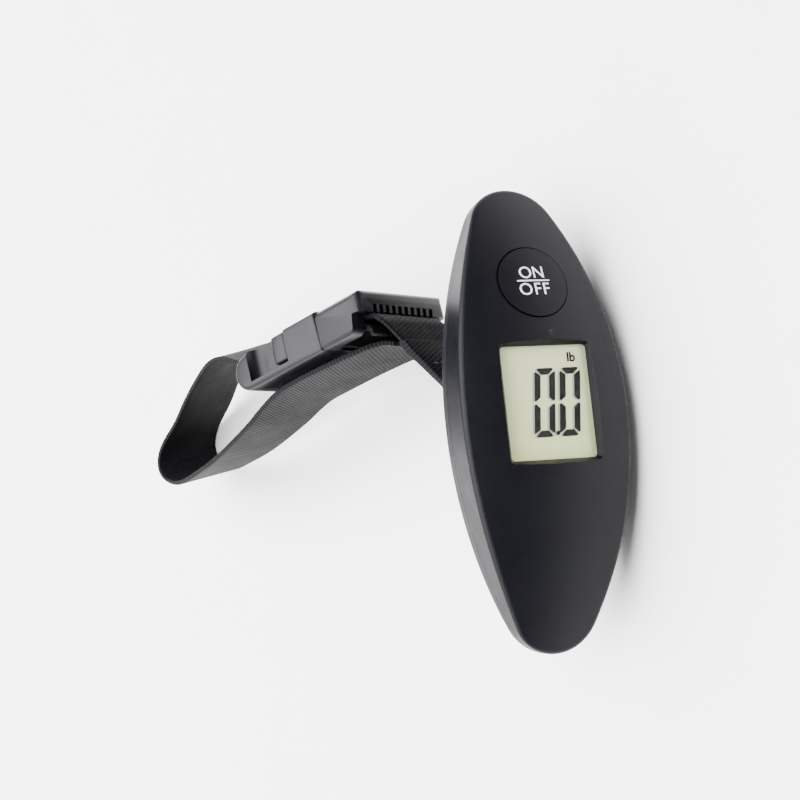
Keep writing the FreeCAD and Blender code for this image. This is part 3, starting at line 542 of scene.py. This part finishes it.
# Buckle prongs.
# Two springy arms that leave the male half's shoulder.  Each carries a smooth thumb pad that snaps
# out into the socket's side window.
for word, side in (("upper", 1), ("lower", -1)):
    form = bmesh.new()
    arm = [(17.9, 13.4), (24.0, 13.5), (31.3, 13.6), (31.3, 13.9), (36.9, 13.9), (37.4, 12.6),
           (43.6, 11.3), (42.8, 10.2), (36.0, 10.2), (31.0, 10.0), (24.0, 9.9), (17.9, 9.8)]
    ring = [form.verts.new((-3.1, y, side * z)) for y, z in arm]
    face = form.faces.new(ring)
    grown = bmesh.ops.extrude_face_region(form, geom=[face])
    bmesh.ops.translate(form, vec=(6.4, 0, 0),
                        verts=[v for v in grown["geom"] if isinstance(v, bmesh.types.BMVert)])
    prong = piece_from("buckle_prong_" + word + "_arm", form, buckle_place, buckle_skin,
                       "prong_" + word)
    soften(prong, 0.5, 3)
    form = bmesh.new()
    near, far = sorted((side * 13.4, side * 17.25))
    brick(form, (-3.0, 31.45, near), (5.3, 37.2, far), 1.0, 4)
    piece_from("buckle_prong_" + word + "_pad", form, buckle_place, buckle_skin, "prong_" + word,
               True)
    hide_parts("buckle_prong_" + word)

# Buckle, female half.
# A flat socket with a scooped waist at each side, where thumb and finger reach the pads, and a
# rounded end with a slot for the webbing.
form = bmesh.new()
socket_start = 17.7
far_round = 5.2
socket_outline = ([(-half_thick, socket_start), (half_thick, socket_start), (half_thick, 43.0)]
                  + [(half_thick - 0.35, 46.5)]
                  + arc((-0.6, 48.9), far_round, 5, 178, 10) + [(-half_thick, 46.5)])
profile_block(form, socket_outline, half_wide)
bmesh.ops.recalc_face_normals(form, faces=form.faces)
ends = [e for e in form.edges if abs(abs(e.verts[0].co.z) - half_wide) < 0.01
        and abs(e.verts[0].co.z - e.verts[1].co.z) < 0.01]
bmesh.ops.bevel(form, geom=ends, offset=1.5, offset_type="OFFSET", segments=4, profile=0.5,
                affect="EDGES", material=-1)
female = piece_from("buckle_female_half", form, buckle_place, buckle_skin, "loop")
carve(female, [((-3.5, socket_start - 1, -14.1), (3.7, 38.05, 14.1), 0, None),
               ((-3.4, 37.0, -12.3), (3.6, 45.0, 12.3), 0, None)])
for side in (-1, 1):
    carve(female, [((-3.9, 31.0, side * 17.1 - 3.4), (half_thick + 2, 38.65, side * 17.1 + 3.4), 0, None),
                   ((-4.0, 35.3, side * 17.65 - 3.9), (half_thick + 2.2, 47.4, side * 17.65 + 3.9), 3.6, 0)])
carve(female, [((0.9, 50.2, -12.9), (half_thick + 3, 52.4, 12.9), 0.4, 2),
               ((0.9, 47.8, -12.9), (3.4, 52.4, 12.9), 0.4, 2)])
soften(female, 0.4, 3)
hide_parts("buckle_female")

# Webbing.
# One length of black nylon webbing, 25 mm wide, woven in slanting ribs with a rounded selvedge.
# A doubled and stitched leg goes round the boss's pin.  One strand is threaded through the toothed
# bar, and the other runs under the buckle, round the loop and into the socket's slot.
web_wide, web_thick = 25.0, 1.4
rib_pitch, rib_slant, warp_pitch = 1.15, 0.55, 0.82
web = Finish("webbing_nylon", Specular_IOR_Level=0.10)
web_map = web.node("ShaderNodeUVMap", {"uv_map": "lie"}, {}, out="UV")
run, wide = web.along(web_map, "X"), web.along(web_map, "Y")
slant = (run + wide * rib_slant) * (2 * math.pi / rib_pitch)
ribs = (slant.math("SINE", slant) * 0.5 + 0.5) ** 0.8
warp_wave = wide * (2 * math.pi / warp_pitch)
warps = warp_wave.math("SINE", warp_wave) * 0.5 + 0.5
fuzz = web.noise(3.2, 3.0, web_map)
fade = web.ramp(web.noise(0.09, 3.0, web_map), 0.35, 0.7)
height = ribs * 0.62 + warps * 0.22 + fuzz * 0.25
# Painted shade: the colour follows the weave's height, so the grooves between ribs and warps are darker and
# the rib tops lighter; the fuzz in it is the yarn's own uneven tone.
web.shade(Base_Color=web.mix(web.ramp(height, 0.25, 0.95), (0.0005, 0.0005, 0.0008, 1),
                             (0.0046, 0.0046, 0.0062, 1)),
          Roughness=0.62 + fuzz * 0.12 - ribs * 0.06 + fade * 0.06)
web.bump(height, 0.9, 0.00030)


def smooth_route(stations, steps=8):
    """Places taken in even steps from a soft curve through the stations."""
    points = [np.array(station, float) for station in stations]
    points = [points[0] * 2 - points[1]] + points + [points[-1] * 2 - points[-2]]
    made = []
    for n in range(1, len(points) - 2):
        before, here, there, after = points[n - 1:n + 3]
        for step in range(steps):
            t = step / steps
            made.append(0.5 * (2 * here + (there - before) * t
                               + (2 * before - 5 * here + 4 * there - after) * t ** 2
                               + (3 * here - before - 3 * there + after) * t ** 3))
    return made + [points[-2]]


def width_way(station):
    """Which way the webbing's width points at a place on its route."""
    tilt, lean_out = math.radians(station[3]), math.radians(station[4])
    return Vector((math.sin(lean_out), math.sin(tilt), math.cos(tilt) * math.cos(lean_out))).normalized()


def ribbon(name, stations, body, thick=web_thick, start=0.0):
    """Webbing through stations: x, y, height of its middle, and how far its width tilts and leans."""
    route = smooth_route(stations)
    form = bmesh.new()
    across = 12
    bmesh.ops.create_grid(form, x_segments=len(route) - 1, y_segments=across, size=0.5)
    lie = form.loops.layers.uv.new("lie")
    gone, total = [start], start
    for first, second in zip(route, route[1:]):
        total += float(np.linalg.norm(second[:3] - first[:3]))
        gone.append(total)
    where = {}
    for vert in form.verts:
        step = round((vert.co.x + 0.5) * (len(route) - 1))
        where[vert] = (step, vert.co.y * web_wide)
    for face in form.faces:
        for loop in face.loops:
            step, side = where[loop.vert]
            loop[lie].uv = (gone[step], side)
    for vert, (step, side) in where.items():
        vert.co = Vector(route[step][:3]) + width_way(route[step]) * side
    bmesh.ops.transform(form, matrix=Matrix.Scale(mm, 4), verts=form.verts)
    mesh = bpy.data.meshes.new(name)
    form.to_mesh(mesh)
    form.free()
    piece = bpy.data.objects.new(name, mesh)
    bpy.context.collection.objects.link(piece)
    mesh.materials.append(web.material)
    wall = piece.modifiers.new("wall", "SOLIDIFY")
    wall.thickness, wall.offset = thick * mm, 0.0
    wall.use_even_offset = True
    settle(piece)
    edge = piece.modifiers.new("edge", "BEVEL")
    edge.width, edge.segments, edge.limit_method = 0.42 * mm, 3, "ANGLE"
    edge.angle_limit = math.radians(60)
    settle(piece)
    for face in piece.data.polygons:
        face.use_smooth = True
    if body:
        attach(piece, body)
    return piece


leg_stations = [(1.6, 22.6, 15.0, 24.5, 0), (10.0, 25.0, 13.9, 24.5, 0), (17.0, 29.3, 18.2, 15.0, 0),
                (23.0, 33.0, 23.6, 6.0, 0), (26.0, 34.4, 26.0, 2.0, 0)]
leg = ribbon("webbing_leg", leg_stations, "strap", 2 * web_thick + 0.1)
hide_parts("strap_leg")
form = bmesh.new()
pin_depth, eye_inside = 24.4, 2.1
eye_outside, eye_edge = eye_inside + web_thick, web_wide / 2
profile = [form.verts.new((0, eye_inside, -eye_edge)), form.verts.new((0, eye_outside, -eye_edge)),
           form.verts.new((0, eye_outside, eye_edge)), form.verts.new((0, eye_inside, eye_edge))]
bands = [form.edges.new((profile[n], profile[(n + 1) % 4])) for n in range(4)]
bmesh.ops.spin(form, geom=profile + bands, cent=(0, 0, 0), axis=(0, 0, 1), angle=math.radians(360),
               steps=48, use_merge=True)
lie = form.loops.layers.uv.new("lie")
for face in form.faces:
    for loop in face.loops:
        spot = loop.vert.co
        round_way = math.atan2(spot.y, spot.x) * (eye_inside + eye_outside) / 2
        loop[lie].uv = (round_way if abs(face.normal.z) < 0.9 else spot.x, spot.z)
piece_from("webbing_eye", form, case_place @ Matrix.Translation((0, pin_depth, 0)), web, "strap",
           True)
male_strand = ribbon("webbing_male_strand", [
    (25.6, 34.0, 25.9, 2.0, 0), (29.2, 34.7, 30.2, 0, 0), (31.6, 35.3, 33.2, 0, 0), (33.0, 37.6, 33.4, 0, 0),
    (32.9, 40.4, 33.4, 0, 0), (32.3, 43.5, 33.4, 0, 0)], "strap", start=30.0)
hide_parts("strap_male_end")
tail = ribbon("webbing_tail", [(30.4, 42.8, 33.4, 0, 0), (29.9, 39.2, 33.4, 0, 0),
                               (27.9, 38.2, 33.2, 0, 0)], "strap", start=50.0)
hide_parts("strap_tail")
loop_strand = ribbon("webbing_loop", [
    (25.4, 36.2, 26.6, 2, 0), (26.1, 40.2, 28.6, 0, 0), (25.0, 46.5, 31.4, 0, 0),
    (22.4, 59.0, 34.0, 0, 0), (19.9, 73.0, 34.2, 0, 0), (18.4, 81.0, 33.1, 0, -2),
    (16.4, 88.0, 31.6, 0, -4), (12.9, 98.5, 29.2, 0, -6), (8.0, 118.0, 24.4, 0, -9),
    (5.8, 134.0, 20.0, 0, -11), (5.2, 147.0, 15.6, 0, -12), (7.4, 156.0, 13.0, 0, -13),
    (11.2, 160.2, 12.4, 0, -14), (15.9, 160.2, 12.4, 0, -15), (20.2, 156.6, 12.9, 0, -16),
    (25.6, 147.0, 15.4, 0, -18), (31.0, 136.5, 19.6, 0, -20), (35.2, 124.0, 24.9, 0, -20),
    (37.0, 112.0, 29.8, 0, -16), (36.0, 104.0, 31.6, 0, -11), (32.8, 97.0, 32.7, 0, -6),
    (29.6, 91.8, 33.2, 0, -2), (28.3, 87.6, 33.4, 0, 0)], None)
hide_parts("strap_near", "strap_far")
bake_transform(loop_strand)

# Stitching of the leg.
# Bonded thread in five rows across the doubled webbing, sunk a little into the weave.
thread = Finish("bonded_thread", Roughness=0.55, Sheen_Weight=0.2)
thread_twist = thread.noise(2500.0, 2.0)
thread.shade(Base_Color=thread.mix(thread_twist, (0.004, 0.004, 0.006, 1), (0.022, 0.022, 0.026, 1)))
thread.bump(thread_twist, 0.5, 0.00008)
leg_route = smooth_route(leg_stations)
stitches, stitch_pitch, stitch_out = 9, 2.5, 1.5
stitch_thick, stitch_long = 0.26, 0.85
form = bmesh.new()
for row in (6, 9, 12, 15, 18):
    point, ahead = Vector(leg_route[row][:3]), Vector(leg_route[row + 1][:3])
    heading = (ahead - point).normalized()
    up = width_way(leg_route[row])
    outward = Vector((heading.y, -heading.x, 0)).normalized()
    for face_side in (-1, 1):
        for n in range(stitches):
            middle = (point + up * (n - (stitches - 1) / 2) * stitch_pitch
                      + outward * face_side * stitch_out)
            turn = up.to_track_quat("Z", "Y").to_matrix().to_4x4()
            bmesh.ops.create_uvsphere(form, u_segments=8, v_segments=6, radius=1.0,
                                      matrix=Matrix.Translation(middle) @ turn
                                      @ Matrix.Diagonal((stitch_thick, stitch_thick, stitch_long, 1)))
piece_from("leg_stitches", form, Matrix.Scale(mm, 4), thread, "strap", True)

# Floor and light.
# A plain pale sweep, with large soft lamps above and to the side.
form = bmesh.new()
bmesh.ops.create_grid(form, x_segments=2, y_segments=2, size=3.0)
mesh = bpy.data.meshes.new("floor")
form.to_mesh(mesh)
form.free()
floor = bpy.data.objects.new("floor", mesh)
bpy.context.collection.objects.link(floor)
paper = Finish("floor_paper", Roughness=0.9)
paper.shade(Base_Color=paper.mix(paper.noise(40.0), (0.90, 0.90, 0.90, 1), (0.94, 0.94, 0.94, 1)))
mesh.materials.append(paper.material)

world = bpy.data.worlds.new("studio")
world.use_nodes = True
world.node_tree.nodes["Background"].inputs["Color"].default_value = (1, 1, 1, 1)
world.node_tree.nodes["Background"].inputs["Strength"].default_value = 0.32
bpy.context.scene.world = world


def lamp(name, place, aim, size, power):
    light = bpy.data.lights.new(name, "AREA")
    light.shape, light.size, light.energy = "SQUARE", size, power
    holder = bpy.data.objects.new(name, light)
    bpy.context.collection.objects.link(holder)
    holder.location = place
    holder.rotation_mode = "QUATERNION"
    holder.rotation_quaternion = (Vector(aim) - Vector(place)).to_track_quat("-Z", "Y")


lamp("top_softbox", (0.1, 0.40, 1.3), (0, 0.05, 0.0), 2.2, 210.0)
lamp("side_softbox", (-0.7, 0.5, 0.5), (0, 0.04, 0.02), 0.5, 6.0)
